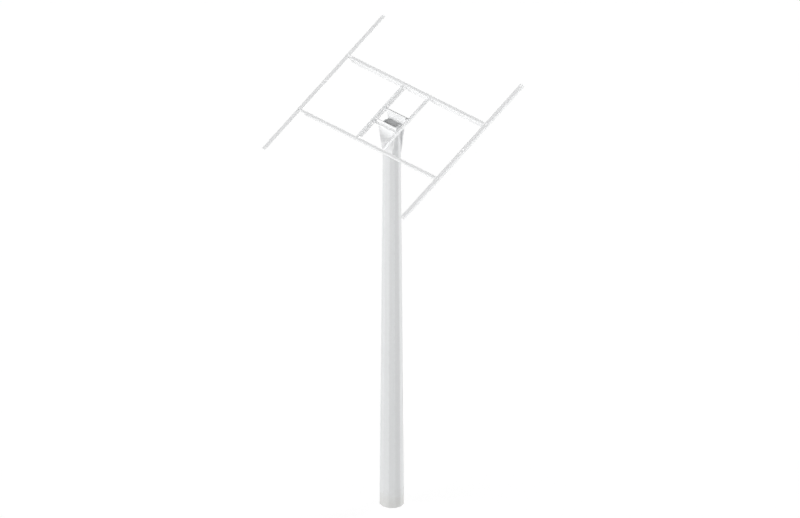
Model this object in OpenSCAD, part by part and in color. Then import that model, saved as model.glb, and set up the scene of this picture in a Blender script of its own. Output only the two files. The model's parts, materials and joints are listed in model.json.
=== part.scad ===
// Mast of a solar light: a tapered, many-sided steel pole that carries an open, sloping frame for two
// solar panels. Lengths are in millimetres and angles in degrees. The origin is the centre of the
// pole's foot, +Z is up, +X runs along the cross beams and +Y points to the high side of the frame.

/* [Pole] */
// Height of the pole from its foot to its rim
pole_h = 4600; // [3000:50:6000]
// Width of the pole across its flats at the foot
pole_foot_w = 257; // [230:1:320]
// Width of the pole across its flats at the rim
pole_top_w = 186; // [176:1:215]
// Thickness of the pole's wall
pole_wall = 4; // [3:0.5:8]
// Number of flat sides round the pole
pole_sides = 12; // [8, 12, 16]
// Depth of the cap in the pole's head below the rim
cap_drop = 10; // [4:1:30]
// Thickness of the cap
cap_t = 6; // [4:1:10]

/* [Head plates] */
// Clear distance between the two head plates
head_gap = 128; // [110:1:140]
// Thickness of each head plate
head_t = 8; // [6:1:12]
// Depth from the rim down to the foot of the head plates
head_let_in = 350; // [200:10:600]
// Width of a head plate along its top edge
head_top_w = 274; // [200:1:290]
// Height that a head plate stands above its ledge
head_upstand = 28; // [8:1:34]

/* [Ledges] */
// Width of the ledge welded across each head plate
ledge_w = 25; // [22:1:45]
// Thickness of a ledge
ledge_t = 6; // [4:1:10]

/* [Frame] */
// Slope of the frame
tilt = 26.4; // [15:0.1:35]
// Height of the frame's top plane above the rim, on the pole's axis
frame_rise = 60; // [52:1:90]
// Distance that the frame's middle lies up the slope from the pole's axis
frame_shift = 16; // [0:1:30]
// Width of the frame over its two rails
frame_w = 2095; // [1600:5:2600]

/* [Rails] */
// Length of a rail
rail_len = 1996; // [1600:2:2400]
// Width of a rail's top flange
rail_flange = 45; // [40:1:60]
// Depth of a rail's outer leg
rail_leg = 28; // [22:1:45]
// Thickness of a rail
rail_t = 5; // [4:0.5:8]

/* [Cross beams] */
// Clear distance between the webs of the two cross beams
cross_gap = 780; // [600:10:1000]
// Width of a cross beam's top flange
cross_flange = 28; // [26:1:45]
// Depth of a cross beam's web
cross_web = 88; // [60:1:110]
// Thickness of a cross beam
cross_t = 5; // [4:0.5:8]
// Gap between the end of a cross beam and the leg of a rail
cross_end_gap = 2; // [1:0.5:6]
// Length of web cut away at each end of a cross beam, below the leg of a rail
cross_cope = 50; // [40:1:80]

/* [Carriers] */
// Clear distance between the flat legs of the two carriers
carrier_gap = 304; // [300:2:360]
// Width of a carrier's flat leg
carrier_w = 45; // [38:1:60]
// Height of a carrier over its standing leg
carrier_h = 31; // [26:1:50]
// Thickness of a carrier
carrier_t = 4; // [4:0.5:8]
// Depth of a carrier's top edge below the frame's top plane
carrier_drop = 1; // [0:0.5:10]
// Length cut off a carrier's flat leg at each end, clear of the cross beam's weld
carrier_cope = 33; // [10:1:60]

/* [Holes] */
// Diameter of the holes that the panels are bolted to
panel_hole_d = 22; // [9:0.5:24]
// Distance from the end of a rail to its first panel hole
panel_hole_end = 18; // [18:1:60]
// Distance from the middle of a rail to the two holes beside it
panel_hole_mid = 25; // [16:1:60]
// Diameter of the bolts that hold the frame together
bolt_d = 12; // [8:1:14]
// Amount by which a bolt hole or a slot is wider than its bolt
bolt_play = 2; // [0.5:0.5:2]
// Length of the slots across a rail's flange, over its cross beams
rail_slot_len = 32; // [20:1:32]
// Length of the slots that let a rail be moved along a cross beam
cross_slot_len = 56; // [30:1:58]
// Distance from the middle of a rail's slot inwards to that of the cross beam's slot
cross_slot_shift = 16; // [14:1:24]
// Length of the slots across a carrier's flat leg
carrier_slot_len = 28; // [20:1:32]
// Distance between a ledge's slot in a carrier and the spare slots beside it
carrier_slot_pitch = 33; // [26:1:50]

/* [Hidden] */

front = -1;
back = 1;
left = -1;
right = 1;

// Through cuts run this far past the faces they cut
cut = 1;

// Height of the frame's top plane on the pole's axis
frame_h = pole_h + frame_rise;

// Depths below the frame's top plane, measured square to it
cross_depth = rail_t;
ledge_depth = carrier_drop + carrier_h;

// Head plates: the face against the pole, the outer face and the lowest edge
head_in_y = head_gap / 2;
head_out_y = head_in_y + head_t;
head_foot_z = pole_h - head_let_in;

// The pole's half width across its flats, where the head plates start, and its width at the plates
head_foot_apothem = pole_apothem(head_foot_z);
head_foot_half = sqrt(head_foot_apothem * head_foot_apothem - head_in_y * head_in_y);

// Middle line of a ledge, out from the pole's axis
ledge_mid_y = head_out_y + ledge_w / 2;

// Outer faces of the two carriers, from the middle of the frame, and the middle of a flat leg
carrier_out_x = carrier_gap / 2 + carrier_w;
carrier_slot_x = carrier_gap / 2 + (carrier_w - carrier_t) / 2;

// Length of the cross beams, between the legs of the rails
cross_len = frame_w - 2 * (rail_t + cross_end_gap);

// Middle lines of a rail's flange, and of the free parts of a rail's and a cross beam's flange
rail_hole_x = (frame_w - rail_flange) / 2;
rail_slot_x = (frame_w - rail_flange - rail_t) / 2;
cross_bolt_y = cross_gap / 2 + (cross_flange + cross_t) / 2;

bolt_hole_d = bolt_d + bolt_play;

// Half width across the flats of the pole at a height
function pole_apothem(z) = (pole_foot_w + (pole_top_w - pole_foot_w) * z / pole_h) / 2;

// Height, over a place y, of the plane that lies a depth below the frame's top plane
function plane_z(y, depth) = frame_h + y * tan(tilt) - depth / cos(tilt);

// Distance up the slope, from the middle of the frame, of a ledge's middle line where the carriers rest
function ledge_line_y(side) = (side * ledge_mid_y - ledge_depth * sin(tilt)) / cos(tilt) - frame_shift;

// ---- Helpers ----

// Places its children on the frame: x across, y up the slope, z square to the panels
module on_slope() {
    translate([0, 0, frame_h])
        rotate([tilt, 0, 0])
            translate([0, frame_shift, 0])
                children();
}

// Solid prism whose flat sides lean in from one half width at the foot to another at the top
module leaning_prism(foot_half, top_half, height) {
    lean = atan((foot_half - top_half) / height);
    reach = 4 * foot_half;
    intersection_for (i = [0 : pole_sides - 1]) {
        rotate([0, 0, (i + 0.5) * 360 / pole_sides])
            translate([foot_half, 0, 0])
                rotate([0, -lean, 0])
                    translate([-reach, -reach / 2, -reach])
                        cube([reach, reach, height + 2 * reach]);
    }
}

// Angle section: a flange of one thickness along +x and a leg along +y, meeting at the origin
module angle_section(flange, leg, thickness) {
    polygon([
        [0, 0],
        [flange, 0],
        [flange, thickness],
        [thickness, thickness],
        [thickness, leg],
        [0, leg]
    ]);
}

// Round hole square to the frame, through everything from the top plane down to a depth
module slope_hole(x, y, diameter, depth) {
    translate([x, y, -depth])
        cylinder(d = diameter, h = depth + cut);
}

// Slot along x with round ends, square to the frame like the holes
module slope_slot(x, y, length, width, depth) {
    straight = length - width;
    for (end_x = [x - straight / 2, x + straight / 2])
        slope_hole(end_x, y, width, depth);
    translate([x - straight / 2, y - width / 2, -depth])
        cube([straight, width, depth + cut]);
}

// ---- Pole ----

// The part of the pole's head outside the plates, cut away so that they can stand in its walls
module head_cut(side) {
    depth = head_let_in + cut;
    outside_y = side > 0 ? head_in_y : -head_in_y - pole_foot_w;
    translate([-pole_foot_w, outside_y, head_foot_z])
        cube([2 * pole_foot_w, pole_foot_w, depth]);
}

// Tapered tube with a cap welded in just below its rim
module pole() {
    color("gainsboro")
        difference() {
            intersection() {
                leaning_prism(pole_foot_w / 2, pole_top_w / 2, pole_h);
                translate([-pole_foot_w, -pole_foot_w, 0])
                    cube([2 * pole_foot_w, 2 * pole_foot_w, pole_h]);
            }
            difference() {
                leaning_prism(pole_foot_w / 2 - pole_wall, pole_top_w / 2 - pole_wall, pole_h);
                translate([-pole_foot_w, -pole_foot_w, pole_h - cap_drop - cap_t])
                    cube([2 * pole_foot_w, 2 * pole_foot_w, cap_t]);
            }
            head_cut(front);
            head_cut(back);
        }
}

// ---- Head ----

// Upright plate that flares from the pole's width to its top edge, above the ledge
module head_plate(side) {
    top_z = plane_z(side * head_out_y, ledge_depth) + head_upstand;
    middle_y = side * (head_in_y + head_t / 2);
    color("whitesmoke")
        translate([0, middle_y, 0])
            rotate([90, 0, 0])
                linear_extrude(head_t, center = true)
                    polygon([
                        [-head_foot_half, head_foot_z],
                        [head_foot_half, head_foot_z],
                        [head_top_w / 2, top_z],
                        [-head_top_w / 2, top_z]
                    ]);
}

// Sloping bar across the outside of a head plate, cut plumb along both edges, that the carriers sit on
module ledge(side) {
    near_y = side * head_out_y;
    far_y = side * (head_out_y + ledge_w);
    under = ledge_depth + ledge_t;
    color("lightgray")
        difference() {
            rotate([90, 0, 90])
                linear_extrude(2 * carrier_out_x, center = true)
                    polygon([
                        [near_y, plane_z(near_y, ledge_depth)],
                        [far_y, plane_z(far_y, ledge_depth)],
                        [far_y, plane_z(far_y, under)],
                        [near_y, plane_z(near_y, under)]
                    ]);
            on_slope()
                for (x = [-carrier_slot_x, carrier_slot_x])
                    slope_hole(x, ledge_line_y(side), bolt_hole_d, under + cut);
        }
}

// ---- Frame ----

// Angle from web to web: flat leg inwards on the ledges, standing leg along the outside
module carrier(side) {
    inner_face = side > 0 ? 1 : 0;
    color("gainsboro")
        difference() {
            on_slope()
                translate([side * carrier_out_x, 0, -ledge_depth])
                    mirror([inner_face, 0, 0])
                        difference() {
                            rotate([90, 0, 0])
                                linear_extrude(cross_gap, center = true)
                                    angle_section(carrier_w, carrier_h, carrier_t);
                            carrier_cope_cut(front);
                            carrier_cope_cut(back);
                        }
            carrier_slots(side, front);
            carrier_slots(side, back);
        }
}

// Three slots across a carrier's flat leg: the middle one takes the ledge's bolt, the others are spare
module carrier_slots(side, ledge_side) {
    on_slope()
        for (step = [-carrier_slot_pitch, 0, carrier_slot_pitch])
            slope_slot(
                side * carrier_slot_x,
                ledge_line_y(ledge_side) + step,
                carrier_slot_len,
                bolt_hole_d,
                ledge_depth + cut
            );
}

// The flat leg's end that is cut away beside a cross beam
module carrier_cope_cut(side) {
    near_y = cross_gap / 2 - carrier_cope;
    low_y = side > 0 ? near_y : -near_y - carrier_cope - cut;
    translate([carrier_t, low_y, -cut])
        cube([carrier_w, carrier_cope + cut, carrier_t + 2 * cut]);
}

// Angle across the frame: web down along the inner side, flange outwards under the rails
module cross_beam(side) {
    outward = side > 0 ? 0 : 1;
    color("lightgray")
        on_slope()
            difference() {
                mirror([0, outward, 0])
                    translate([0, cross_gap / 2, -cross_depth])
                        mirror([0, 0, 1])
                            rotate([90, 0, 90])
                                linear_extrude(cross_len, center = true)
                                    angle_section(cross_flange, cross_web, cross_t);
                for (end = [left, right]) {
                    slope_slot(
                        end * (rail_slot_x - cross_slot_shift),
                        side * cross_bolt_y,
                        cross_slot_len,
                        bolt_hole_d,
                        cross_depth + cross_t + cut
                    );
                    cross_cope_cut(end, side);
                }
            }
}

// The web's end that is cut away below the leg of a rail
module cross_cope_cut(end, side) {
    depth = cross_depth + cross_web + cut;
    near_x = end > 0 ? cross_len / 2 - cross_cope : -cross_len / 2 - cut;
    near_y = side > 0 ? cross_gap / 2 - cut : -cross_gap / 2 - cross_flange - cut;
    translate([near_x, near_y, -depth])
        cube([cross_cope + cut, cross_flange + 2 * cut, depth - rail_leg]);
}

// Angle along the side of the frame: flange inwards on top, leg down along the outside
module rail(side) {
    inward = side > 0 ? 1 : 0;
    color("gainsboro")
        on_slope()
            difference() {
                translate([side * frame_w / 2, 0, 0])
                    mirror([inward, 0, 0])
                        mirror([0, 0, 1])
                            rotate([90, 0, 0])
                                linear_extrude(rail_len, center = true)
                                    angle_section(rail_flange, rail_leg, rail_t);
                for (y = [-cross_bolt_y, cross_bolt_y])
                    slope_slot(side * rail_slot_x, y, rail_slot_len, bolt_hole_d, rail_t + cut);
                panel_holes(side);
            }
}

// Holes in one rail for the corners of the two panels
module panel_holes(side) {
    end_y = rail_len / 2 - panel_hole_end;
    for (y = [-end_y, -panel_hole_mid, panel_hole_mid, end_y])
        slope_hole(side * rail_hole_x, y, panel_hole_d, rail_t + cut);
}

pole();
head_plate(front);  // front_head_plate
head_plate(back);  // back_head_plate
ledge(front);  // front_ledge
ledge(back);  // back_ledge
carrier(left);  // left_carrier
carrier(right);  // right_carrier
cross_beam(front);  // lower_cross_beam
cross_beam(back);  // upper_cross_beam
rail(left);  // left_rail
rail(right);  // right_rail
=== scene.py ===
"""Looks of the mast of a solar light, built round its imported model.

The mast is a tapered, twelve-sided pole of folded steel, capped just below its rim. Two plates stand in its
head, a ledge runs across each plate, and two carriers on the ledges hold the cross beams and rails of an
open frame for solar panels. The frame slopes down towards -Y. Lengths are in metres, and the origin is the
centre of the pole's foot.
"""

import json
import logging
import math
from collections.abc import Mapping, Sequence
from dataclasses import dataclass
from enum import Enum
from functools import partialmethod, reduce
from itertools import product

import bpy
import numpy as np
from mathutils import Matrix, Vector


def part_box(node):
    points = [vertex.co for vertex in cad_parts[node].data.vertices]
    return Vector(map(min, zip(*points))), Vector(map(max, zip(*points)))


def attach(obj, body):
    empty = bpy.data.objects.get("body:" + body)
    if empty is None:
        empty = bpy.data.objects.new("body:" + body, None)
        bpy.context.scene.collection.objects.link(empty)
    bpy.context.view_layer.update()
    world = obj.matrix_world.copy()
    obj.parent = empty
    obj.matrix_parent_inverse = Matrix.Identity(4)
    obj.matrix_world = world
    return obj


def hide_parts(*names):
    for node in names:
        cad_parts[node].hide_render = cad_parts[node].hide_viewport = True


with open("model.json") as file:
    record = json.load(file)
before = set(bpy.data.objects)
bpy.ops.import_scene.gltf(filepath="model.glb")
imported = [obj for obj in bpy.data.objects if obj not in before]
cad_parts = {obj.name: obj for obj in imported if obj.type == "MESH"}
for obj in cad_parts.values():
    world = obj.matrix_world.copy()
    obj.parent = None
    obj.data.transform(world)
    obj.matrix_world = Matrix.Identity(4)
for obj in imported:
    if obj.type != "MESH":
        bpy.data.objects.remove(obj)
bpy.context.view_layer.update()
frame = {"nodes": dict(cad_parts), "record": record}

LOG = logging.getLogger("mast")
ROOT = "root"
MM = 0.001

# Coats of the pole, its cap, the head's plates and ledges, the rails and cross beams, and the carriers
POLE_COLOUR = (0.725, 0.735, 0.74)
# The cap's coat is darker than the pole's steel: painted shade for the pole's dark mouth
CAP_SHADE_COLOUR = (0.53, 0.535, 0.54)
HEAD_COLOUR = (0.865, 0.87, 0.875)
SECTION_COLOUR = (0.92, 0.925, 0.93)
# The carriers' coat is paler than the rails' and beams': painted light on the carriers' faces
CARRIER_LIT_COLOUR = (0.945, 0.95, 0.955)
# Height that rain splashes dust up the pole, and factors that draw the frame's streaks out along y
SPLASH_HEIGHT = 0.25
SLOPE_RUN = (1.0, 0.05, 1.0)

Array = np.ndarray
Material = bpy.types.Material
Socket = bpy.types.NodeSocket
Colour = tuple[float, float, float]
Point = tuple[float, float, float]
# Both ends of a straight edge of a piece, along which its coat is rubbed thin
Edge = tuple[Point, Point]


class Slot(Enum):
    """The record's material slots."""

    POLE = "pole_steel"
    HEAD = "head_steel"
    FRAME = "frame_steel"


# ---- Shader arithmetic ----


@dataclass(frozen=True)
class Value:
    """A number that varies over a surface: a shader's output that takes part in Python's arithmetic."""

    shader: "Shader"
    socket: Socket

    def _math(self, operation: str, *others: "Value | float", last: bool = False) -> "Value":
        """Adds one Math node.

        Args:
            operation: The node's operation.
            others: Its operands besides this number.
            last: Whether this number comes after the others, not before them.

        Returns:
            The node's result.
        """
        operands = (*others, self) if last else (self, *others)
        node = self.shader.node("ShaderNodeMath", dict(enumerate(operands)), operation=operation)
        return Value(self.shader, node.outputs[0])

    __add__ = __radd__ = partialmethod(_math, "ADD")
    __sub__ = partialmethod(_math, "SUBTRACT")
    __rsub__ = partialmethod(_math, "SUBTRACT", last=True)
    __mul__ = partialmethod(_math, "MULTIPLY")
    __pow__ = partialmethod(_math, "POWER")
    smallest = partialmethod(_math, "MINIMUM")
    largest = partialmethod(_math, "MAXIMUM")
    # What is above the whole number below, the number without its sign, and, with another number as x, the
    # angle in radians of the place that has this number as y
    fraction = partialmethod(_math, "FRACT")
    size = partialmethod(_math, "ABSOLUTE")
    angle = partialmethod(_math, "ARCTAN2")

    def rise(self, start: float, end: float) -> "Value":
        """A smooth rise from 0 to 1 between two values of this number; it falls where start is above end.

        Args:
            start: Where the result is 0.
            end: Where the result is 1.

        Returns:
            The eased number, held at 0 and 1 outside the two values.
        """
        low, high = sorted((start, end))
        sockets = {"Value": self, "From Min": low, "From Max": high}
        node = self.shader.node("ShaderNodeMapRange", sockets, interpolation_type="SMOOTHSTEP")
        eased = Value(self.shader, node.outputs["Result"])
        return eased if start < end else 1 - eased


class Shader:
    """The node tree of a material or of the world, with one method that adds any node."""

    # Places of a Mix node's factor and colours among its inputs, and of the mixed colour among its outputs
    MIX_INPUTS = (0, 6, 7)
    MIX_RESULT = 2

    def __init__(self, owner: Material | bpy.types.World) -> None:
        """Empties the owner's node tree and starts a new one.

        Args:
            owner: The material or world.
        """
        owner.use_nodes = True
        self.owner = owner
        self.tree = owner.node_tree
        self.tree.nodes.clear()

    def node(
        self, kind: str, sockets: Mapping[str | int, object] | None = None, **settings: object
    ) -> bpy.types.Node:
        """Adds a node.

        Args:
            kind: The node's type.
            sockets: Its inputs by name or place: a Value or a socket is linked, anything else is set.
            settings: Its settings, which are set first.

        Returns:
            The new node.
        """
        made = self.tree.nodes.new(kind)
        for name, setting in settings.items():
            setattr(made, name, setting)
        for key, given in (sockets or {}).items():
            source = given.socket if isinstance(given, Value) else given
            if isinstance(source, Socket):
                self.tree.links.new(source, made.inputs[key])
            else:
                made.inputs[key].default_value = source
        return made

    def surface(self, closure: bpy.types.Node) -> Material:
        """Makes a node's result the surface of the material, and returns the material."""
        self.node("ShaderNodeOutputMaterial", {"Surface": closure.outputs[0]})
        return self.owner

    def metal(self, sockets: Mapping[str, object], height: Value) -> Material:
        """Makes the material's surface from its inputs by name and a fine relief in millimetres."""
        relief = self.node("ShaderNodeBump", {"Distance": MM, "Height": height}).outputs["Normal"]
        return self.surface(self.node("ShaderNodeBsdfPrincipled", {**sockets, "Normal": relief}))

    def place(self, stretch: Point = (1.0, 1.0, 1.0), turn: Point = (0.0, 0.0, 0.0)) -> Socket:
        """The surface's own place in metres, stretched along x, y and z and then turned, in radians."""
        own = self.node("ShaderNodeTexCoord").outputs["Object"]
        return self.node("ShaderNodeMapping", {"Vector": own, "Rotation": turn, "Scale": stretch}).outputs[0]

    def noise(self, place: Socket, scale: float, detail: float = 3.0) -> Value:
        """Cloudy noise from -0.5 to 0.5, with so many clouds to a metre and so many finer layers."""
        node = self.node("ShaderNodeTexNoise", {"Vector": place, "Scale": scale, "Detail": detail})
        return Value(self, node.outputs["Fac"]) - 0.5

    def crystals(self, place: Socket, scale: float) -> Value:
        """A number from -0.5 to 0.5 that is the same all over a zinc crystal, with so many to a metre."""
        cells = self.node("ShaderNodeTexVoronoi", {"Vector": place, "Scale": scale}).outputs["Color"]
        return Value(self, self.node("ShaderNodeSeparateColor", {"Color": cells}).outputs[0]) - 0.5

    def mix(self, factor: Value | float, first: object, second: object) -> Socket:
        """Mixes two colours, where the factor is the share of the second."""
        sockets = dict(zip(self.MIX_INPUTS, (factor, first, second)))
        return self.node("ShaderNodeMix", sockets, data_type="RGBA").outputs[self.MIX_RESULT]

    def vector(self, operation: str, output: str | int, *operands: object) -> Socket:
        """Adds one Vector Math node and returns one of its outputs."""
        node = self.node("ShaderNodeVectorMath", dict(enumerate(operands)), operation=operation)
        return node.outputs[output]

    def axis(self, vector: Socket, name: str) -> Value:
        """The number that a vector has along one axis."""
        return Value(self, self.node("ShaderNodeSeparateXYZ", {0: vector}).outputs[name])

    def seen(self) -> Value:
        """1 for rays from the camera, from a gloss or through glass, and 0 for rays that light things."""
        path = self.node("ShaderNodeLightPath")
        names = ("Is Camera Ray", "Is Glossy Ray", "Is Transmission Ray")
        camera, glossy, through = (Value(self, path.outputs[name]) for name in names)
        return camera.largest(glossy).largest(through)


def with_alpha(colour: Colour) -> tuple[float, float, float, float]:
    """An opaque colour for a shader's socket."""
    return (*colour, 1.0)


# ---- Finishes ----


@dataclass(frozen=True)
class CoatedSteel:
    """Zinc-coated steel under a thin pale coat, as a mast stands outdoors.

    Attributes:
        colour: Colour of the coat.
        roughness: Roughness of the coat.
        turn: Rotation of the rain streaks' noise round x, in radians, after it is drawn out.
        run: Factors on x, y and z that draw the streaks out: the smaller, the longer.
        splash: Height above the ground that rain throws dust up to; 0 leaves it out.
        folds: Number of folds round a pole with worn coat and painted highlight along them; 0 leaves them
            out.
    """

    colour: Colour
    roughness: float = 0.48
    turn: float = 0.0
    run: Point = (1.0, 1.0, 0.05)
    splash: float = 0.0
    folds: int = 0

    # Clouds, spots, crystals, streaks and grains to a metre, and finer layers where they aren't the usual
    CLOUD_SCALE = 1.7
    MOTTLE_SCALE = 23.0
    MOTTLE_DETAIL = 5.0
    CRYSTAL_SCALE = 65.0
    STREAK_SCALE = 38.0
    PEEL_SCALE = 750.0
    PEEL_DETAIL = 1.0
    # Shares that they change the tone by
    CLOUD = 0.045
    MOTTLE = 0.035
    CRYSTAL = 0.014
    STREAK = 0.07
    # What they add to the roughness, and what wear takes off it
    MOTTLE_ROUGHNESS = 0.16
    CRYSTAL_ROUGHNESS = 0.05
    STREAK_ROUGHNESS = 0.2
    WORN_SMOOTHNESS = 0.12
    # The relief, in millimetres
    PEEL_HEIGHT = 0.006
    MOTTLE_HEIGHT = 0.05
    # Wear and, on folds, painted highlight, and how strongly the mottle breaks it up about its mean
    WORN_AND_HIGHLIGHT = (0.93, 0.94, 0.95)
    WORN_AND_HIGHLIGHT_SHARE = 0.3
    WORN_AND_HIGHLIGHT_WIDTH = 0.006
    WORN_AND_HIGHLIGHT_BREAKS = 4.0
    WORN_AND_HIGHLIGHT_MEAN = 0.7
    DUST = (0.52, 0.50, 0.46)
    DUST_SHARE = 0.35
    # The coat of a weld, as a share of the steel's colour
    WELD_TONE = 0.94
    WELD_ROUGHNESS = 0.55

    def material(self, name: str, edges: Sequence[Edge] = ()) -> Material:
        """Makes the material of one piece.

        Args:
            name: The material's name.
            edges: The piece's edges that the coat is worn along.

        Returns:
            The material.
        """
        shader = Shader(bpy.data.materials.new(name))
        place = shader.place()
        cloud = shader.noise(place, self.CLOUD_SCALE)
        mottle = shader.noise(place, self.MOTTLE_SCALE, self.MOTTLE_DETAIL)
        crystal = shader.crystals(place, self.CRYSTAL_SCALE)
        drawn_out = shader.place(self.run, (self.turn, 0.0, 0.0))
        streak = shader.noise(drawn_out, self.STREAK_SCALE).largest(0.0)
        tone = 1 + cloud * self.CLOUD + mottle * self.MOTTLE + crystal * self.CRYSTAL - streak * self.STREAK
        colour = shader.vector("MULTIPLY", 0, self.colour, tone)
        # Real wear on the edges; on the pole's folds the paler colour is also a painted highlight
        worn = self._worn_and_highlight(shader, place, edges, mottle)
        colour = shader.mix(worn * self.WORN_AND_HIGHLIGHT_SHARE, colour, with_alpha(self.WORN_AND_HIGHLIGHT))
        if self.splash:
            colour = shader.mix(self._dust(shader, place, mottle), colour, with_alpha(self.DUST))
        rough = self.roughness + mottle * self.MOTTLE_ROUGHNESS + crystal * self.CRYSTAL_ROUGHNESS
        rough = rough + streak * self.STREAK_ROUGHNESS - worn * self.WORN_SMOOTHNESS
        peel = shader.noise(place, self.PEEL_SCALE, self.PEEL_DETAIL)
        height = peel * self.PEEL_HEIGHT + mottle * self.MOTTLE_HEIGHT
        return shader.metal({"Base Color": colour, "Roughness": rough}, height)

    def weld_material(self, name: str) -> Material:
        """Makes the material of a weld on this steel, a little darker and rougher than its coat."""
        darker = tuple(self.WELD_TONE * part for part in self.colour)
        return CoatedSteel(darker, self.WELD_ROUGHNESS).material(name)

    def _worn_and_highlight(self, shader: Shader, place: Socket, edges: Sequence[Edge], mottle: Value) -> Value | float:
        """Share of wear and painted highlight: full on an edge or a fold, none past its width, broken up by
        noise.

        The distance to an edge is the length of the cross product of its direction and the way to it, and
        the distance to a fold is the angle to it round the pole's axis times the distance from the axis.

        Args:
            shader: The shader that is being made.
            place: The surface's own place.
            edges: The edges.
            mottle: The noise.

        Returns:
            The share of wear, which is 0 all over where there are neither edges nor folds.
        """
        distances = []
        if self.folds:
            across, along = shader.axis(place, "X"), shader.axis(place, "Y")
            turns = along.angle(across) * (self.folds / math.tau)
            off = ((turns + 0.5).fraction() - 0.5).size() * (math.tau / self.folds)
            distances.append(off * (across * across + along * along) ** 0.5)
        for start, end in edges:
            direction = (Vector(end) - Vector(start)).normalized()
            way = shader.vector("SUBTRACT", 0, place, start)
            square = shader.vector("CROSS_PRODUCT", 0, way, tuple(direction))
            distances.append(Value(shader, shader.vector("LENGTH", "Value", square)))
        if not distances:
            return 0.0
        broken = (mottle * self.WORN_AND_HIGHLIGHT_BREAKS + self.WORN_AND_HIGHLIGHT_MEAN).smallest(1.0).largest(0.0)
        return reduce(Value.smallest, distances).rise(self.WORN_AND_HIGHLIGHT_WIDTH, 0.0) * broken

    def _dust(self, shader: Shader, place: Socket, mottle: Value) -> Value:
        """Share of dust, which is thickest at the ground and fades out at the splash height."""
        height = shader.axis(place, "Z") + mottle * self.splash
        return height.rise(self.splash, 0.0) * self.DUST_SHARE


class ZincPlate:
    """Bright zinc plating of bolts, nuts and washers."""

    COLOUR = (0.80, 0.81, 0.82)
    ROUGHNESS = 0.34
    METALLIC = 0.85
    GRAIN_SCALE = 260.0
    GRAIN_HEIGHT = 0.03
    STAIN = (0.62, 0.63, 0.64)
    STAIN_SCALE = 45.0
    STAIN_DETAIL = 4.0
    STAIN_SHARE = 0.5
    STAIN_ROUGHNESS = 0.25
    # Noise at which a stain is full
    STAIN_FULL = 0.3

    def material(self, name: str) -> Material:
        """Makes the material.

        Args:
            name: The material's name.

        Returns:
            The material.
        """
        shader = Shader(bpy.data.materials.new(name))
        place = shader.place()
        grain = shader.noise(place, self.GRAIN_SCALE)
        stain = shader.noise(place, self.STAIN_SCALE, self.STAIN_DETAIL)
        share = stain.rise(0.0, self.STAIN_FULL) * self.STAIN_SHARE
        sockets = {
            "Base Color": shader.mix(share, with_alpha(self.COLOUR), with_alpha(self.STAIN)),
            "Metallic": self.METALLIC,
            "Roughness": self.ROUGHNESS + stain * self.STAIN_ROUGHNESS,
        }
        return shader.metal(sockets, grain * self.GRAIN_HEIGHT)


# ---- Studio and camera ----


def heading(azimuth: float, elevation: float) -> Vector:
    """Unit vector at so many degrees from +X towards +Y, and so many above the horizon."""
    turn, lift = math.radians(azimuth), math.radians(elevation)
    return Vector((math.cos(turn) * math.cos(lift), math.sin(turn) * math.cos(lift), math.sin(lift)))


@dataclass(frozen=True)
class Lamp:
    """A broad, far lamp.

    Attributes:
        name: Its name.
        azimuth: Where it stands, in degrees from +X towards +Y.
        elevation: Its height, in degrees above the horizon.
        level: Light that it gives a white surface facing it, where 1 makes it white.
        spread: Width of the lamp as seen from the mast, in degrees.
    """

    name: str
    azimuth: float
    elevation: float
    level: float
    spread: float

    # Where the lamp is put; its light comes from the same direction everywhere
    DISTANCE = 10.0

    def build(self) -> None:
        """Puts the lamp into the scene."""
        light = bpy.data.lights.new(self.name, "SUN")
        light.energy = math.pi * self.level
        light.angle = math.radians(self.spread)
        lamp = bpy.data.objects.new(self.name, light)
        towards = heading(self.azimuth, self.elevation)
        lamp.location = towards * self.DISTANCE
        lamp.rotation_euler = (-towards).to_track_quat("-Z", "Y").to_euler()
        bpy.context.scene.collection.objects.link(lamp)


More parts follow.
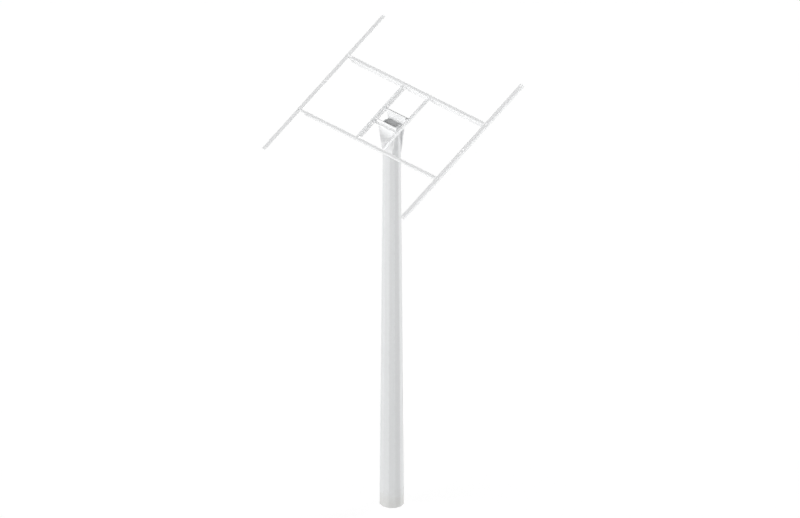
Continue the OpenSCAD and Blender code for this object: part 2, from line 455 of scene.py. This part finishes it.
class Studio:
    """A pale floor that keeps the object's shadow, an even pale surround and four broad lamps."""

    # Half the floor's width, and the floor's own colour, which lights the object from below
    FLOOR_HALF = 60.0
    FLOOR_COLOUR = (0.8, 0.8, 0.8)
    # The floor as it is seen: light that it adds, and share of the light on it, shadows in it
    FLOOR_GLOW = 0.875
    FLOOR_SHADE = 0.22
    # Light of the surround on the object
    SURROUND = 0.2
    LAMPS = (
        Lamp("front_left_lamp", -120.0, 7.0, 0.87, 60.0),
        Lamp("front_right_lamp", -60.0, 7.0, 0.39, 60.0),
        Lamp("right_lamp", 15.0, 10.0, 0.44, 60.0),
        Lamp("back_right_lamp", 75.0, 10.0, 0.63, 25.0),
    )

    def build(self) -> None:
        """Makes the floor, the world and the lamps, and sets the view transform."""
        bpy.context.scene.view_settings.view_transform = "Standard"
        self._floor()
        self._world()
        for lamp in self.LAMPS:
            lamp.build()

    def _floor(self) -> None:
        """One large level square at the ground, whose grid is x = u, y = v, z = 0."""
        reach = np.array([-self.FLOOR_HALF, self.FLOOR_HALF])
        across, along = np.meshgrid(reach, reach)
        floor = Surface.grid(np.stack([across, along, np.zeros_like(across)], axis=-1)).mesh_object("floor")
        floor.data.materials.append(self._floor_material())

    def _floor_material(self) -> Material:
        """The floor as it lights things, and as it is seen: nearly white, with soft shadows."""
        shader = Shader(bpy.data.materials.new("floor_paint"))
        lit = shader.node("ShaderNodeBsdfDiffuse", {"Color": with_alpha(self.FLOOR_COLOUR)})
        shade = shader.node("ShaderNodeBsdfDiffuse", {"Color": with_alpha((self.FLOOR_SHADE,) * 3)})
        glow = shader.node("ShaderNodeEmission", {"Strength": self.FLOOR_GLOW})
        shown = shader.node("ShaderNodeAddShader", {0: shade.outputs[0], 1: glow.outputs[0]})
        both = {0: shader.seen(), 1: lit.outputs[0], 2: shown.outputs[0]}
        return shader.surface(shader.node("ShaderNodeMixShader", both))

    def _world(self) -> None:
        """The surround: white where it is seen, and dimmer as a light."""
        world = bpy.data.worlds.new("surround")
        bpy.context.scene.world = world
        shader = Shader(world)
        strength = shader.seen() * (1.0 - self.SURROUND) + self.SURROUND
        background = shader.node("ShaderNodeBackground", {"Strength": strength})
        shader.node("ShaderNodeOutputWorld", {"Surface": background.outputs[0]})


class ViewCamera:
    """A camera without perspective that looks down on the mast from its front right."""

    # Degrees that the view is turned from looking along +Y towards looking along -X, and above the horizon
    AZIMUTH = 45.0
    ELEVATION = 30.0
    # Width of the view, and how far its middle is to the right of and above the pole's foot
    WIDTH = 8.4
    AIM_RIGHT = 0.0861
    AIM_UP = 2.5515
    # Distance from the camera to the middle of the view, and to the farthest place that is drawn
    DISTANCE = 20.0
    CLIP_END = 200.0

    def build(self) -> None:
        """Makes the camera and gives it to the scene."""
        back = heading(self.AZIMUTH - 90.0, self.ELEVATION)
        right = Vector((0.0, 0.0, 1.0)).cross(back).normalized()
        up = back.cross(right)
        data = bpy.data.cameras.new("view_camera")
        data.type = "ORTHO"
        data.ortho_scale = self.WIDTH
        data.clip_end = self.CLIP_END
        camera = bpy.data.objects.new("view_camera", data)
        camera.location = right * self.AIM_RIGHT + up * self.AIM_UP + back * self.DISTANCE
        camera.rotation_euler = back.to_track_quat("Z", "Y").to_euler()
        bpy.context.scene.collection.objects.link(camera)
        bpy.context.scene.camera = camera


# ---- Surfaces ----


@dataclass
class Surface:
    """A mesh as whole arrays.

    Attributes:
        points: The points, one row of x, y and z each.
        faces: Arrays of corner numbers: one array for each number of corners that a face has.
    """

    points: Array
    faces: list[Array]

    # Faces that meet at more than this angle have a sharp edge between them
    SHARP_ANGLE = math.radians(35.0)

    @classmethod
    def grid(cls, points: Array, close_columns: bool = False) -> "Surface":
        """Four-cornered faces over a grid of points, with (row, column) running anticlockwise from outside.

        Args:
            points: Points by row and column.
            close_columns: Whether the last column joins the first.

        Returns:
            The surface.
        """
        rows, columns = points.shape[:2]
        row = np.arange(rows - 1)[:, None] * columns
        column = np.arange(columns if close_columns else columns - 1)[None, :]
        beside = (column + 1) % columns
        corners = [row + column, row + beside, row + columns + beside, row + columns + column]
        quads = np.stack(corners, axis=-1).reshape(-1, 4)
        return cls(points.reshape(-1, 3), [quads])

    @classmethod
    def tube(cls, rings: Array) -> "Surface":
        """A closed solid: rings of points joined in turn, with a flat face over the first and the last.

        Args:
            rings: Points by ring and place in the ring, each ring anticlockwise as the last one is faced.

        Returns:
            The surface.
        """
        side = cls.grid(rings, close_columns=True)
        count, around = rings.shape[:2]
        first = np.arange(around)[::-1]
        last = (count - 1) * around + np.arange(around)
        return cls(side.points, [*side.faces, np.stack([first, last])])

    @classmethod
    def turned(cls, radii: Array, heights: Array) -> "Surface":
        """A closed solid round its own z axis: a point at angle a has x = r cos a, y = r sin a and z = h.

        Args:
            radii: Radius r by row and angle, rows from the low end up; the first and last rows are 0.
            heights: Height h by row and angle.

        Returns:
            The surface, with one point at each end of the axis.
        """
        angle = np.linspace(0.0, math.tau, radii.shape[1], endpoint=False)
        points = np.stack([radii * np.cos(angle), radii * np.sin(angle), heights], axis=-1)
        side = cls.grid(points[1:-1], close_columns=True)
        low_end = len(side.points)
        column = np.arange(len(angle))
        beside = np.roll(column, -1)
        last = low_end - len(angle)
        low = np.stack([np.full_like(column, low_end), beside, column], axis=-1)
        high = np.stack([last + column, last + beside, np.full_like(column, low_end + 1)], axis=-1)
        ends = np.stack([points[0, 0], points[-1, 0]])
        return cls(np.concatenate([side.points, ends]), [*side.faces, low, high])

    @classmethod
    def joined(cls, parts: Sequence["Surface"]) -> "Surface":
        """Several surfaces as one, without merging their points.

        Args:
            parts: The surfaces.

        Returns:
            The surface.
        """
        starts = np.cumsum([0] + [len(part.points) for part in parts])
        faces = [faces + start for part, start in zip(parts, starts) for faces in part.faces]
        return cls(np.concatenate([part.points for part in parts]), faces)

    def mesh_object(self, name: str) -> bpy.types.Object:
        """Puts the surface into the scene as one object at the origin.

        Args:
            name: The object's name.

        Returns:
            The object.
        """
        mesh = bpy.data.meshes.new(name)
        mesh.from_pydata(self.points.tolist(), [], [face for faces in self.faces for face in faces.tolist()])
        mesh.shade_smooth()
        mesh.set_sharp_from_angle(angle=self.SHARP_ANGLE)
        made = bpy.data.objects.new(name, mesh)
        bpy.context.scene.collection.objects.link(made)
        return made


def add_piece(name: str, surface: Surface, material: Material) -> bpy.types.Object:
    """Makes one piece of the object, dressed and riding on the mast.

    Args:
        name: The piece's name.
        surface: Its shape.
        material: Its material.

    Returns:
        The piece.
    """
    piece = surface.mesh_object(name)
    piece.data.materials.append(material)
    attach(piece, ROOT)
    LOG.info("%s: %d points", name, len(surface.points))
    return piece


def dress_node(name: str, finish: CoatedSteel, edges: Sequence[Edge]) -> None:
    """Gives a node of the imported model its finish.

    Args:
        name: The node's name.
        finish: The finish.
        edges: The node's edges that the coat is worn along.
    """
    node = frame["nodes"][name]
    node.data.materials.clear()
    node.data.materials.append(finish.material(name + "_coat", edges))
    LOG.info("%s: dressed", name)


# ---- The frame's own directions ----


@dataclass(frozen=True)
class Slope:
    """The frame's own directions: x across it, y up its slope and z square to its top plane.

    Attributes:
        origin: A point in the middle of the frame's top plane.
        axes: The three directions, as columns.
    """

    origin: Array
    axes: Array

    @classmethod
    def from_record(cls, record: Mapping[str, object]) -> "Slope":
        """Finds the directions from the seats that the record gives for the panels.

        Args:
            record: The part's record.

        Returns:
            The directions.
        """
        seats = [mount for mount in record["mounts"] if mount["name"].endswith("_panel_seat")]
        square = unit(seats[0]["axis"])
        across = np.array([1.0, 0.0, 0.0])
        axes = np.column_stack([across, np.cross(square, across), square])
        return cls(np.mean([seat["pos_m"] for seat in seats], axis=0), axes)

    @property
    def tilt(self) -> float:
        """The slope, in radians."""
        return math.atan2(self.axes[2, 1], self.axes[1, 1])

    def span(self, node: str) -> tuple[Array, Array]:
        """Lowest and highest corner of a node, in the slope's own directions."""
        own = (node_points(node) - self.origin) @ self.axes
        return own.min(axis=0), own.max(axis=0)

    def world(self, points: Array) -> Array:
        """Points given in the slope's own directions, in the shared frame."""
        return self.origin + np.asarray(points) @ self.axes.T

    def edge(self, ends: Array) -> Edge:
        """An edge whose two ends are given in the slope's own directions."""
        start, end = self.world(ends).tolist()
        return tuple(start), tuple(end)


def node_points(name: str) -> Array:
    """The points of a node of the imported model, in the shared frame.

    Args:
        name: The node's name.

    Returns:
        The points, one row each.
    """
    vertices = frame["nodes"][name].data.vertices
    points = np.zeros(len(vertices) * 3)
    vertices.foreach_get("co", points)
    return points.reshape(-1, 3)


def unit(vector: Sequence[float]) -> Array:
    """A direction as a vector of length 1."""
    return np.asarray(vector, float) / np.linalg.norm(vector)


# ---- Parts of the mast ----


@dataclass(frozen=True)
class WeldBead:
    """A bead of weld in the corner between two faces, with the ripples that the torch leaves.

    Attributes:
        leg: How far it reaches up each face.
        bulge: How far its face stands out from a straight line between the two reaches, as a share of leg.
        pitch: Distance between two ripples.
        ripple: Depth of the ripples, as a share of leg.
        sunk: How far its root lies inside the corner.
    """

    leg: float = 0.005
    bulge: float = 0.18
    pitch: float = 0.0028
    ripple: float = 0.07
    sunk: float = 0.001

    # Points along a ripple and across the bead, length of its thinner tips, and their thickness as a share
    STEPS = 4
    ACROSS = 7
    TAPER = 0.006
    TIP = 0.45
    # How far a ripple lags behind in the middle of the bead, as a share of the pitch
    CURL = 0.35

    def along(
        self, start: Sequence[float], end: Sequence[float], wall_a: Sequence[float], wall_b: Sequence[float]
    ) -> Surface:
        """A bead from one point to another.

        Across the bead, at a share t, the face is (1 - t) a + t b + bulge sin(pi t) (a + b), times the leg.
        Along it the leg grows and shrinks as a sine of the way over the pitch, later in the middle of the
        face than at its sides, and it shrinks towards both ends.

        Args:
            start: The corner at the bead's start.
            end: The corner at its end.
            wall_a: Direction from the corner up one face.
            wall_b: Direction from the corner up the other face.

        Returns:
            The closed surface.
        """
        first, last = np.asarray(start, float), np.asarray(end, float)
        a, b = unit(wall_a), unit(wall_b)
        length = float(np.linalg.norm(last - first))
        way = np.linspace(0.0, length, max(int(length / self.pitch * self.STEPS), self.STEPS))[:, None]
        share = np.linspace(0.0, 1.0, self.ACROSS)[None, :]
        lag = self.CURL * np.sin(math.pi * share)
        wave = 1.0 + self.ripple * np.sin(math.tau * (way / self.pitch - lag))
        ends = np.clip(np.minimum(way, length - way) / self.TAPER, 0.0, 1.0)
        reach = self.leg * wave * (self.TIP + (1.0 - self.TIP) * np.sqrt(ends))
        out = self.bulge * np.sin(math.pi * share)
        face = reach[..., None] * ((1.0 - share + out)[..., None] * a + (share + out)[..., None] * b)
        root = np.broadcast_to(-self.sunk * unit(a + b), (len(way), 1, 3))
        rings = np.concatenate([face, root], axis=1)
        rings = first + way[..., None] / length * (last - first) + rings
        forward = np.dot(np.cross(a, b), last - first) > 0.0
        return Surface.tube(rings if forward else rings[:, ::-1])


@dataclass(frozen=True)
class BoltSet:
    """A hexagon bolt with a washer at each end and a nut, along its own z axis."""

    # Diameter and pitch of the thread, and length of it that stands out of the nut
    shank: float = 0.012
    pitch: float = 0.00175
    tip: float = 0.007
    # Width of head and nut across their flats, and their heights
    flats: float = 0.018
    head: float = 0.0075
    nut: float = 0.0108
    # Width and thickness of a washer
    washer_width: float = 0.024
    washer: float = 0.0025

    # Angles round the axis, rows to a pitch, and depth of the thread as a share of the pitch
    ANGLE = np.linspace(0.0, math.tau, 48, endpoint=False)
    TURN_STEPS = 6
    THREAD_DEPTH = 0.54
    # Corners of head and nut, and the cone that breaks them: width at the end faces as a share of the
    # flats, and slope
    CORNERS = 6
    FACE = 0.95
    CHAMFER = math.tan(math.radians(30.0))
    # Width of a washer's broken edge
    BROKEN_EDGE = 0.0005

    def _hexagon(self, low: float, height: float) -> Surface:
        """A six-sided block whose corners are cut back to a cone at both ends.

        At angle a the side lies at half the flats over the cosine of the angle to its middle, and the
        cones take as much off its height as the side stands out past the end face, times their slope.

        Args:
            low: Height of its lower face.
            height: Its own height.

        Returns:
            The surface.
        """
        sector = math.tau / self.CORNERS
        off = (self.ANGLE + sector / 2) % sector - sector / 2
        side = self.flats / 2 / np.cos(off)
        face = np.full_like(side, self.flats / 2 * self.FACE)
        drop = (side - face) * self.CHAMFER
        axis = np.zeros_like(side)
        radii = np.stack([axis, face, side, side, face, axis])
        high = low + height
        flat_low, flat_high = np.full_like(side, low), np.full_like(side, high)
        heights = np.stack([flat_low, flat_low, flat_low + drop, flat_high - drop, flat_high, flat_high])
        return Surface.turned(radii, heights)

    def _washer(self, low: float) -> Surface:
        """A flat disc under a head or nut, with its edge broken at the top and bottom.

        Args:
            low: Height of its lower face.

        Returns:
            The surface.
        """
        half, edge, thickness = self.washer_width / 2, self.BROKEN_EDGE, self.washer
        radii = [0.0, half - edge, half, half, half - edge, 0.0]
        heights = [0.0, 0.0, edge, thickness - edge, thickness, thickness]
        profile = np.array([radii, heights])[..., None].repeat(len(self.ANGLE), axis=-1)
        return Surface.turned(profile[0], low + profile[1])

    def _thread(self, low: float, length: float) -> Surface:
        """The bolt's end, whose radius is a triangle wave of its height over the pitch less the turn.

        Args:
            low: Height that it starts from.
            length: How far it reaches down.

        Returns:
            The surface.
        """
        rows = int(length / self.pitch * self.TURN_STEPS)
        down = np.linspace(length, 0.0, rows)[:, None]
        wave = np.abs((down / self.pitch + self.ANGLE / math.tau) % 1.0 * 2.0 - 1.0)
        radius = self.shank / 2 - self.THREAD_DEPTH * self.pitch * wave
        chamfer = self.shank / 2 - self.pitch + (length - down)
        more = ((1, 1), (0, 0))
        radii = np.pad(np.minimum(radius, chamfer), more)
        return Surface.turned(radii, np.pad(np.broadcast_to(low - down, radius.shape), more, mode="edge"))

    def along(self, top: Array, axes: Array, grip: float) -> Surface:
        """One set in its place.

        Args:
            top: Where its axis meets the face under the head.
            axes: Its own x, y and z as columns; z points from the nut to the head.
            grip: Thickness of what it clamps.

        Returns:
            The surface.
        """
        nut_top = -grip - self.washer
        parts = [
            self._hexagon(self.washer, self.head),
            self._washer(0.0),
            self._washer(nut_top),
            self._hexagon(nut_top - self.nut, self.nut),
            self._thread(nut_top - self.nut, self.tip),
        ]
        whole = Surface.joined(parts)
        return Surface(top + whole.points @ axes.T, whole.faces)


@dataclass(frozen=True)
class Pole:
    """The pole: a tapered tube of flat sides joined by round folds, cut away at its head beside the plates.

    A cap closes it just below the rim, its dark coat painted shade, and a long weld runs down a side at the
    back.

    Attributes:
        height: Height of the rim.
        foot_apothem: Distance from the axis to a flat side at the foot.
        rim_apothem: The same at the rim.
        cut_height: Height above which only the sides between the plates stand.
        cut_half: Half the distance between the plates.
        cap: Heights of the underside and the top of the cap in the pole's head.
        finish: Finish of the steel.
        cap_finish: Finish of the cap, whose dark coat is painted shade.
        sides: Number of flat sides.
        wall: Thickness of the wall.
        fold: Outer radius of a fold.
    """

    height: float
    foot_apothem: float
    rim_apothem: float
    cut_height: float
    cut_half: float
    cap: tuple[float, float]
    finish: CoatedSteel
    cap_finish: CoatedSteel
    sides: int = 12
    wall: float = 0.004
    fold: float = 0.014

    # Columns to a fold, height of a row of faces, and rows of points from the cut to the rim
    FOLD_STEPS = 5
    ROW_HEIGHT = 0.25
    HEAD_ROWS = 3
    # Sides that the plates cross, counted anticlockwise from +X, each between two folds
    CUT_SIDES = (1, 4, 7, 10)
    # Direction that the seam's side faces, in degrees, and how far its bead's walls lean out of that side
    SEAM_SIDE = 135.0
    SEAM_LEAN = 0.18
    SEAM = WeldBead(leg=0.0055, bulge=0.1, pitch=0.006, ripple=0.05, sunk=0.002)

    @classmethod
    def from_frame(cls, finish: CoatedSteel, cap_finish: CoatedSteel) -> "Pole":
        """Takes the pole's sizes from its node and from the plates in its head.

        Args:
            finish: Finish of the steel.
            cap_finish: Finish of the cap, whose dark coat is painted shade.

        Returns:
            The pole.
        """
        points = node_points("pole")
        levels = points[:, 2]
        height = levels.max()
        to_flat = math.cos(math.pi / cls.sides)
        plate_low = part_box("back_head_plate")[0]
        cap_levels = levels[(levels > plate_low.z + MM) & (levels < height - MM)]
        return cls(
            height=float(height),
            foot_apothem=float(points[levels < MM, 0].max()) * to_flat,
            rim_apothem=float(points[levels > height - MM, 0].max()) * to_flat,
            cut_height=plate_low.z,
            cut_half=plate_low.y,
            cap=(float(cap_levels.min()), float(cap_levels.max())),
            finish=finish,
            cap_finish=cap_finish,
        )

    def apothem(self, height: Array | float) -> Array | float:
        """Distance from the axis to a flat side, at a height."""
        return self.foot_apothem + (self.rim_apothem - self.foot_apothem) * height / self.height

    @property
    def _cut_columns(self) -> tuple[int, ...]:
        """The outline's columns that stand at the plates' inner faces, counted anticlockwise from +X."""
        return tuple((side + 1) * self.FOLD_STEPS + place for place, side in enumerate(self.CUT_SIDES))

    def build(self) -> None:
        """Makes the tube, its cap and its seam."""
        tube = add_piece("pole_tube", self._tube(), self.finish.material("pole_coat"))
        weighted = tube.modifiers.new("flat_sides", "WEIGHTED_NORMAL")
        weighted.keep_sharp = True
        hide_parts("pole")
        # The cap's dark coat is painted shade for the pole's mouth
        add_piece("pole_cap", self._cap(), self.cap_finish.material("pole_cap_painted_shade"))
        add_piece("pole_seam", self._seam(), self.finish.weld_material("pole_seam_weld"))

    def _outline(self, heights: Array, inset: float) -> Array:
        """The tube's outer or inner face, as a grid of points.

        A fold is an arc about a centre on the ray of its corner, (apothem - fold) / cos(half a side's turn)
        from the axis. A side that the plates cross has one more point, at the plates' inner face above the
        cut, and at the same share of the side below it.

        Args:
            heights: Heights of the rows.
            inset: How far the face lies inside the tube's outer one.

        Returns:
            Points by row and column.
        """
        turn = math.tau / self.sides
        corner = np.arange(self.sides)[:, None] * turn
        normal = corner + np.linspace(-turn / 2, turn / 2, self.FOLD_STEPS)[None, :]
        reach = (self.apothem(heights) - self.fold)[:, None, None] / math.cos(turn / 2)
        radius = self.fold - inset
        x = reach * np.cos(corner) + radius * np.cos(normal)
        y = reach * np.sin(corner) + radius * np.sin(normal)
        folds = np.stack([x, y], axis=-1)
        columns = []
        for side in range(self.sides):
            columns.append(folds[:, side])
            if side in self.CUT_SIDES:
                start, end = folds[:, side, -1], folds[:, (side + 1) % self.sides, 0]
                share = (self.cut_half - np.abs(start[:, 1])) / (np.abs(end[:, 1]) - np.abs(start[:, 1]))
                at_cut = np.interp(self.cut_height, heights, share)
                share = np.where(heights < self.cut_height, at_cut, share)[:, None]
                columns.append((start + (end - start) * share)[:, None])
        outline = np.concatenate(columns, axis=1)
        upright = np.broadcast_to(heights[:, None, None], (*outline.shape[:2], 1))
        return np.concatenate([outline, upright], axis=-1)

    def _tube(self) -> Surface:
        """The closed tube: outer and inner face, foot, rim, and the steps and ends that the cut leaves.

        Outer and inner points share one numbering by row and column, so every edge is met by two faces.
        """
        below = np.linspace(0.0, self.cut_height, int(self.cut_height / self.ROW_HEIGHT) + 1)
        heights = np.concatenate([below, np.linspace(self.cut_height, self.height, self.HEAD_ROWS)[1:]])
        outer, inner = self._outline(heights, 0.0), self._outline(heights, self.wall)
        out, within = np.arange(2 * outer[..., 0].size).reshape(2, *outer.shape[:2])
        cut_row = len(below) - 1
        first, second, third, fourth = self._cut_columns
        column = np.arange(outer.shape[1])
        stands = (column < first) | ((column >= second) & (column < third)) | (column >= fourth)
        kept = (np.arange(len(heights) - 1)[:, None] < cut_row) | stands

        def quads(near: Array, far: Array, mask: Array, turned: bool = False) -> Array:
            """Faces between two rows of points where the mask holds, which may be turned over."""
            corners = [near, np.roll(near, -1, axis=-1), np.roll(far, -1, axis=-1), far]
            return np.stack(corners[:1] + corners[:0:-1] if turned else corners, axis=-1)[mask]

        faces = [
            quads(out[:-1], out[1:], kept),
            quads(within[:-1], within[1:], kept, turned=True),
            quads(out[0], within[0], np.ones_like(stands), turned=True),
            quads(out[-1], within[-1], stands),
            quads(out[cut_row], within[cut_row], ~stands),
        ]
        out, within = out[cut_row:], within[cut_row:]
        for end, order in ((fourth, 1), (second, 1), (first, -1), (third, -1)):
            corners = [within[:-1, end], out[:-1, end], out[1:, end], within[1:, end]]
            faces.append(np.stack(corners[::order], axis=-1))
        points = np.concatenate([outer.reshape(-1, 3), inner.reshape(-1, 3)])
        used, faces_used = np.unique(np.concatenate(faces), return_inverse=True)
        return Surface(points[used], [faces_used.reshape(-1, 4)])

    def _cap(self) -> Surface:
        """The cap that closes the tube between the plates."""
        outline = self._outline(np.array(self.cap), self.wall)
        first, second, third, fourth = self._cut_columns
        column = np.arange(outline.shape[1])
        inside = (column <= first) | ((column >= second) & (column <= third)) | (column >= fourth)
        return Surface.tube(outline[:, inside])

    def _seam(self) -> Surface:
        """The long weld that closes the tube, down the middle of a side at the back."""
        turn = math.radians(self.SEAM_SIDE)
        out = np.array([math.cos(turn), math.sin(turn), 0.0])
        sideways = np.array([-out[1], out[0], 0.0])
        start = out * self.apothem(0.0) + [0.0, 0.0, MM]
        end = out * self.apothem(self.cut_height) + [0.0, 0.0, self.cut_height - MM]
        lean = self.SEAM_LEAN * out
        return self.SEAM.along(start, end, sideways + lean, -sideways + lean)


@dataclass(frozen=True)
class Head:
    """The two plates in the pole's head, the ledges across them and their welds.

    Attributes:
        pole: The pole that the plates stand in.
        slope: The frame's own directions.
        finish: Finish of the plates and ledges.
    """

    pole: Pole
    slope: Slope
    finish: CoatedSteel

    PLATES = ("front_head_plate", "back_head_plate")
    LEDGES = ("front_ledge", "back_ledge")
    PLATE_WELD = WeldBead(leg=0.006)
    LEDGE_WELD = WeldBead(leg=0.005)
    # Lowest place of a plate's weld above its foot, where the plate is wide enough to carry it, and the
    # room left at its top and beside a ledge's weld
    WELD_START = 0.045
    WELD_END = 0.004
    LEDGE_WELD_END = 0.015

    def build(self) -> None:
        """Dresses the plates and ledges, and welds them."""
        for name in (*self.PLATES, *self.LEDGES):
            dress_node(name, self.finish, self._edges(name))
        weld = self.finish.weld_material("head_weld")
        add_piece("head_plate_welds", self._plate_welds(), weld)
        add_piece("ledge_welds", self._ledge_welds(), weld)

    def _edges(self, name: str) -> list[Edge]:
        """The edges of a plate or a ledge that the coat is worn along.

        They are the top and the leaning edges of a plate's outer face, and the line farthest out on a
        ledge's box: the upper one at the back, and the lower one at the front.

        Args:
            name: The node of the plate or ledge.

        Returns:
            The edges.
        """
        low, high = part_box(name)
        if name in self.LEDGES:
            outer = high if high.y > 0 else low
            return [((low.x, outer.y, outer.z), (high.x, outer.y, outer.z))]
        points = node_points(name)
        foot = float(points[points[:, 2] < low.z + MM][:, 0].max())
        face_y = max(low.y, high.y, key=abs)
        left, right = (low.x, face_y, high.z), (high.x, face_y, high.z)
        return [(left, right), ((-foot, face_y, low.z), left), ((foot, face_y, low.z), right)]

    def _plate_welds(self) -> Surface:
        """Four upright welds, in the corners between the pole's sides and the plates' inner faces."""
        beads = []
        half = self.pole.cut_half
        lowest = self.pole.cut_height + self.WELD_START
        heights = np.array([lowest, self.pole.height - self.WELD_END])
        # The sides that the plates cross face halfway between x and y
        across = self.pole.apothem(heights) * math.sqrt(2.0) - half
        for side_x, side_y in product((-1.0, 1.0), repeat=2):
            foot, top = np.stack([side_x * across, np.full(2, side_y * half), heights], axis=-1)
            beads.append(self.PLATE_WELD.along(foot, top, (side_x, 0.0, 0.0), (side_x, -side_y, 0.0)))
        return Surface.joined(beads)

    def _ledge_welds(self) -> Surface:
        """Welds above and below each ledge, along the plate's outer face."""
        beads = []
        square = self.slope.axes[:, 2]
        for plate, ledge in zip(self.PLATES, self.LEDGES):
            plate_low, plate_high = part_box(plate)
            ledge_low, ledge_high = self.slope.span(ledge)
            face_y = max(plate_low.y, plate_high.y, key=abs)
            reach = plate_high.x - self.LEDGE_WELD_END
            outward = self.slope.axes[:, 1] * math.copysign(1.0, face_y)
            for depth, rise in ((ledge_high[2], 1.0), (ledge_low[2], -1.0)):
                # Height at which the ledge's upper or lower plane crosses the plate's face
                on_plane = self.slope.origin + square * depth
                height = on_plane[2] - (face_y - on_plane[1]) * square[1] / square[2]
                left, right = (-reach, face_y, height), (reach, face_y, height)
                beads.append(self.LEDGE_WELD.along(left, right, (0.0, 0.0, rise), outward))
        return Surface.joined(beads)


@dataclass(frozen=True)
class PanelFrame:
    """The carriers, cross beams and rails of the open frame, and what fastens them.

    Attributes:
        slope: The frame's own directions.
        finish: Finish of the rails and cross beams.
        carrier_lit_finish: Finish of the carriers, paler than the rails' as painted light.
        steel: Thickness of a carrier's legs.
    """

    slope: Slope
    finish: CoatedSteel
    carrier_lit_finish: CoatedSteel
    steel: float = 0.004

    CARRIERS = ("left_carrier", "right_carrier")
    SECTIONS = ("left_rail", "right_rail", *CARRIERS, "lower_cross_beam", "upper_cross_beam")
    BOLT = BoltSet()
    CARRIER_WELD = WeldBead(leg=0.004)

    def build(self) -> None:
        """Dresses the sections, then bolts and welds them together."""
        for name in self.SECTIONS:
            # The carriers' paler coat is painted light
            finish = self.carrier_lit_finish if name in self.CARRIERS else self.finish
            dress_node(name, finish, self._edges(name))
        zinc = ZincPlate().material("bolt_zinc")
        add_piece("carrier_bolts", self._carrier_bolts(), zinc)
        weld = self.carrier_lit_finish.weld_material("carrier_weld")
        add_piece("carrier_welds", self._carrier_welds(), weld)

    def _edges(self, name: str) -> list[Edge]:
        """The long edges of a section: at the corner of its legs and at the end of each leg.

        The corner is outside and on top for a rail, outside and below for a carrier, and inside and on top
        for a cross beam.

        Args:
            name: The section's node.

        Returns:
            The three edges.
        """
        low, high = self.slope.span(name)
        is_beam = name.endswith("_beam")
        axis = 1 if is_beam else 0
        side, far_side = sorted((low[axis], high[axis]), key=abs, reverse=not is_beam)
        level, far_level = (low[2], high[2]) if name in self.CARRIERS else (high[2], low[2])
        edges = []
        for across, up in ((side, level), (far_side, level), (side, far_level)):
            ends = np.array([low, high])
            ends[:, axis] = across
            ends[:, 2] = up
            edges.append(self.slope.edge(ends))
        return edges

    def _carrier_bolts(self) -> Surface:
        """Four bolts that hold the carriers' flat legs on the ledges."""
        low, high = self.slope.span("right_carrier")
        across = (low[0] + high[0] - self.steel) / 2
        sets = []
        for ledge in Head.LEDGES:
            ledge_low, ledge_high = self.slope.span(ledge)
            box_low, box_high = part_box(ledge)
            middle = (box_low.y + box_high.y) / 2
            seat = self.slope.origin[1] + self.slope.axes[1, 2] * ledge_high[2]
            up_slope = (middle - seat) / self.slope.axes[1, 1]
            top = ledge_high[2] + self.steel
            for x in (-across, across):
                place = self.slope.world((x, up_slope, top))
                sets.append(self.BOLT.along(place, self.slope.axes, top - ledge_low[2]))
        return Surface.joined(sets)

    def _carrier_welds(self) -> Surface:
        """Welds up both sides of each carrier's standing leg, where it meets a cross beam's web."""
        beads = []
        beam_top = self.slope.span("upper_cross_beam")[1][2]
        across, up_slope = self.slope.axes[:, 0], self.slope.axes[:, 1]
        for name in self.CARRIERS:
            low, high = self.slope.span(name)
            outer = max(low[0], high[0], key=abs)
            side_x = math.copysign(1.0, outer)
            for side_y, end in ((-1.0, low[1]), (1.0, high[1])):
                for face, away in ((outer, side_x), (outer - side_x * self.steel, -side_x)):
                    ends = self.slope.world([(face, end, low[2] + MM), (face, end, beam_top - MM)])
                    along_web, along_leg = across * away, -up_slope * side_y
                    beads.append(self.CARRIER_WELD.along(*ends, along_web, along_leg))
        return Surface.joined(beads)


def main() -> None:
    """Builds the studio, then the mast from the ground up."""
    logging.basicConfig(level=logging.INFO, format="%(message)s")
    slope = Slope.from_record(frame["record"])
    Studio().build()
    ViewCamera().build()
    # The paler colour along the pole's folds is partly a painted highlight
    outside = CoatedSteel(POLE_COLOUR, splash=SPLASH_HEIGHT, folds=Pole.sides)
    # The cap's dark coat is painted shade
    pole = Pole.from_frame(outside, cap_finish=CoatedSteel(CAP_SHADE_COLOUR))
    pole.build()
    Head(pole, slope, CoatedSteel(HEAD_COLOUR)).build()
    # The carriers' paler coat is painted light on their faces
    section, carrier = (
        CoatedSteel(colour, turn=-slope.tilt, run=SLOPE_RUN) for colour in (SECTION_COLOUR, CARRIER_LIT_COLOUR)
    )
    PanelFrame(slope, section, carrier).build()


if __name__ == "__main__":
    main()
